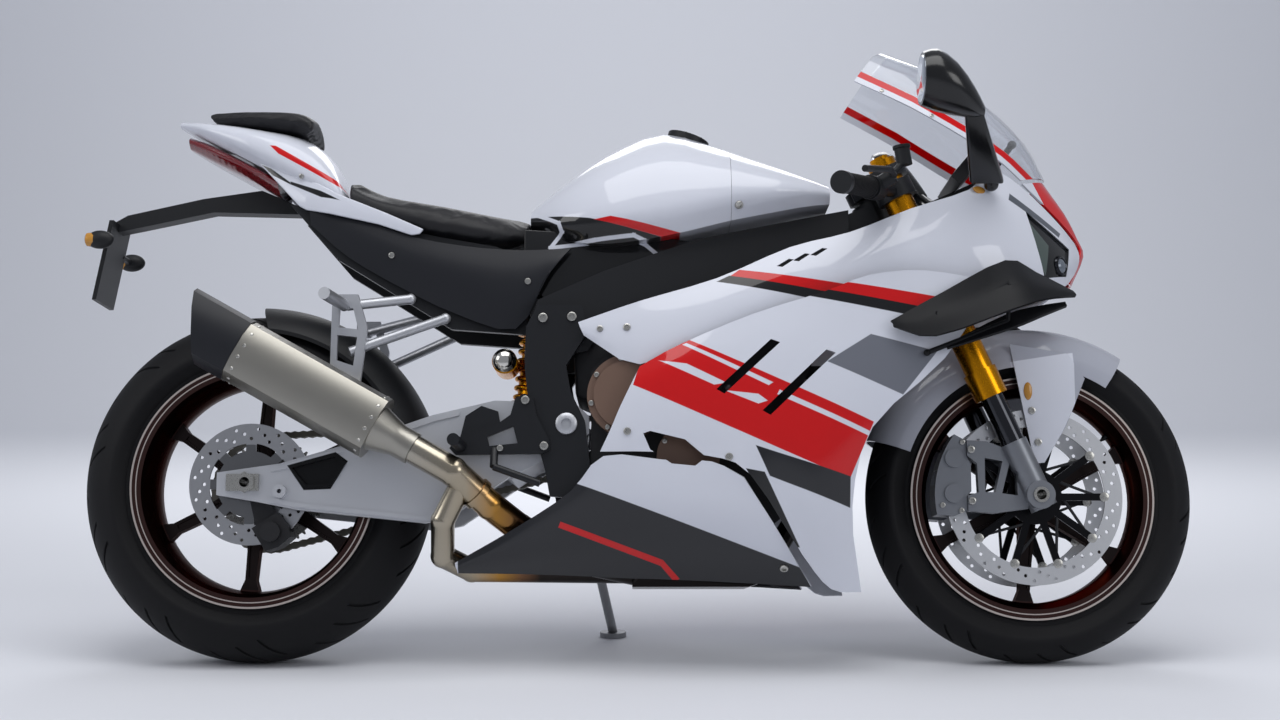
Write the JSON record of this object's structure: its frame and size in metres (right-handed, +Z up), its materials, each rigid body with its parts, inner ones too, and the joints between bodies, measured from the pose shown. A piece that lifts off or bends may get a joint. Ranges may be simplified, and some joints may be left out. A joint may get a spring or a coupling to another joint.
{
  "type": "sport motorcycle",
  "caption": "Fully faired sport motorcycle leaning on its side stand, with turning wheels, steered fork and folding stand.",
  "frame": {"origin": "middle of the footprint, on the floor under the leaning motorcycle", "axes": "+X the way the motorcycle faces, +Y its left, +Z up from the floor"},
  "size_m": [2.0424, 0.8233, 1.1346],
  "materials": {
    "white_paint": "gloss white paint",
    "charcoal": "satin charcoal",
    "black_satin": "satin black",
    "black_plastic": "matt black",
    "vinyl": "matt grained vinyl",
    "rubber": "matt rubber",
    "alloy": "satin cast aluminium",
    "bronze": "bronze satin paint",
    "gold": "gold anodised",
    "steel": "brushed",
    "titanium": "brushed titanium",
    "red_lens": "clear red",
    "red_paint": "gloss red paint",
    "screen": "clear"
  },
  "bodies": {
    "chassis": {"main_frame": "black_satin", "subframe": "black_satin", "engine": "black_satin", "engine_covers": "bronze", "radiator": "black_satin", "exhaust_pipe": "titanium", "muffler": "titanium", "muffler_cap": "black_satin", "peg_hangers": "alloy", "fuel_tank": "white_paint", "tank_cover": "white_paint", "fuel_cap": "black_satin", "rider_seat": "vinyl", "pillion_seat": "vinyl", "tail_cowl": "white_paint", "side_covers": "charcoal", "tail_lamp": "red_lens", "plate_hanger": "black_plastic", "nose_cowl": "red_paint", "upper_cowls": "white_paint", "mid_cowls": "white_paint", "belly_cowls": "charcoal", "fairing_stays": "black_satin", "windscreen": "screen", "headlamps": "black_plastic", "winglets": "charcoal", "mirrors": "black_plastic", "dash": "black_plastic", "rearsets": "black_satin", "swingarm": "alloy", "rear_axle": "steel", "rear_caliper": "black_satin", "shock": "gold", "hugger": "black_plastic", "chain": "steel"},
    "steering": {"triple_clamps": "black_satin", "fork_tubes": "gold", "fork_sliders": "black_satin", "fork_feet": "alloy", "front_axle": "steel", "front_calipers": "alloy", "front_fender": "white_paint", "handlebars": "black_plastic", "controls": "black_plastic"},
    "front_wheel": {"front_rim": "bronze", "front_tyre": "rubber", "front_discs": "steel"},
    "rear_wheel": {"rear_rim": "bronze", "rear_tyre": "rubber", "rear_disc": "steel", "rear_sprocket": "steel"},
    "stand": {"side_stand": "alloy"}
  },
  "joints": [
    {"name": "steering", "type": "hinge", "parent": "chassis", "child": "steering", "pos_m": [0.46, -0.03248, 0.80262], "axis": [-0.4067, 0.1586, 0.8997], "range_deg": [-25, 25]},
    {"name": "front_wheel_spin", "type": "hinge", "parent": "steering", "child": "front_wheel", "pos_m": [0.7217, -0.12174, 0.2964], "axis": [0, 0.9848, -0.1736], "continuous": true},
    {"name": "rear_wheel_spin", "type": "hinge", "parent": "chassis", "child": "rear_wheel", "pos_m": [-0.70073, -0.11817, 0.31666], "axis": [0, 0.9848, -0.1736], "continuous": true},
    {"name": "side_stand", "type": "hinge", "parent": "chassis", "child": "stand", "pos_m": [-0.091, -0.0043, 0.21378], "axis": [0, 0.9314, 0.3641], "range_deg": [0, 90]}
  ]
}
